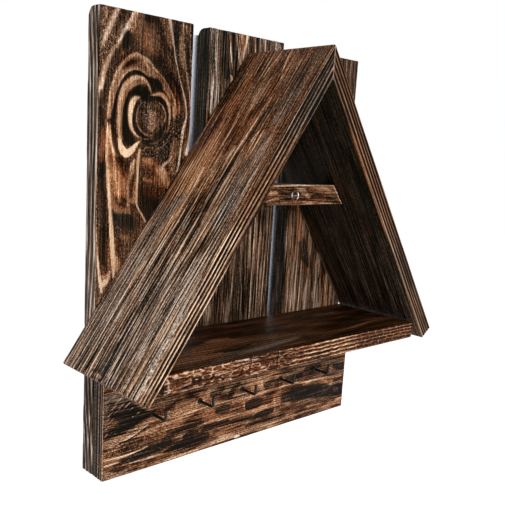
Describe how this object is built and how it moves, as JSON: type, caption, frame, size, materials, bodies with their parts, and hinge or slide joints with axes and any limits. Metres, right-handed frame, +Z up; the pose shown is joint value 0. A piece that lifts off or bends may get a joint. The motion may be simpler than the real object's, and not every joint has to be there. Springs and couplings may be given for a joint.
{
  "type": "wall key holder",
  "caption": "House-shaped wall key holder of burnt, brushed pine: upright back boards, a steep mitred roof over a shelf, a cross bar, and a rail of angle hooks.",
  "frame": {"origin": "on the wall plane, midway between the round entries of the two keyhole hangers", "axes": "+Z up, +Y towards the wall, +X to the right seen from the front"},
  "size_m": [0.4, 0.13, 0.416],
  "materials": {
    "burnt_pine": "brushed, burnt and varnished, satin",
    "black_hook": "black, semi-gloss",
    "bright_steel": "bright zinc plate",
    "yellow_steel": "yellow zinc plate",
    "beech": "plain"
  },
  "bodies": {
    "root": {"back_board_left": "burnt_pine", "back_board_centre": "burnt_pine", "back_board_right": "burnt_pine", "key_rail": "burnt_pine", "shelf": "burnt_pine", "roof_panel_left": "burnt_pine", "roof_panel_right": "burnt_pine", "cross_bar": "burnt_pine", "key_hook_1": "black_hook", "key_hook_2": "black_hook", "key_hook_3": "black_hook", "key_hook_4": "black_hook", "key_hook_5": "black_hook", "screw_eye": "bright_steel", "hanger_plate_left": "bright_steel", "hanger_plate_right": "bright_steel", "hanger_screws": "bright_steel", "rail_screws": "yellow_steel", "frame_screws": "yellow_steel", "dowels": "beech"}
  },
  "joints": []
}
